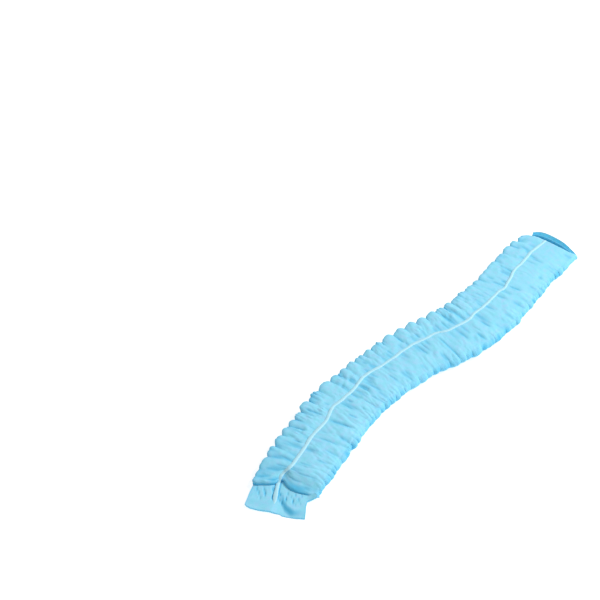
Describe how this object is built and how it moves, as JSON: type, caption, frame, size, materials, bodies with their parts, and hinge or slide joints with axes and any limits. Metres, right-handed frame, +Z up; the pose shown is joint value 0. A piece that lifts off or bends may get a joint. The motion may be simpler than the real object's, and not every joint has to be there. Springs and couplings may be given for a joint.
{
  "type": "folded bouffant cap",
  "caption": "Disposable bouffant cap in its flat folded strip form: a pleated nonwoven web gathered by two fine elastics, with a welded flap at each end",
  "frame": {"origin": "middle of the underside of the strip's box, on the surface that it lies on", "axes": "+X along the strip from its near welded end to its far one, +Y towards the frilled edge, +Z up"},
  "size_m": [0.2618, 0.0488, 0.0074],
  "materials": {
    "blue_nonwoven": "matte pale blue spunbond nonwoven, thin and slightly translucent",
    "white_elastic": "matte off-white covered elastic thread"
  },
  "bodies": {
    "root": {"cap_web": "blue_nonwoven", "upper_elastic": "white_elastic", "lower_elastic": "white_elastic"}
  },
  "joints": []
}
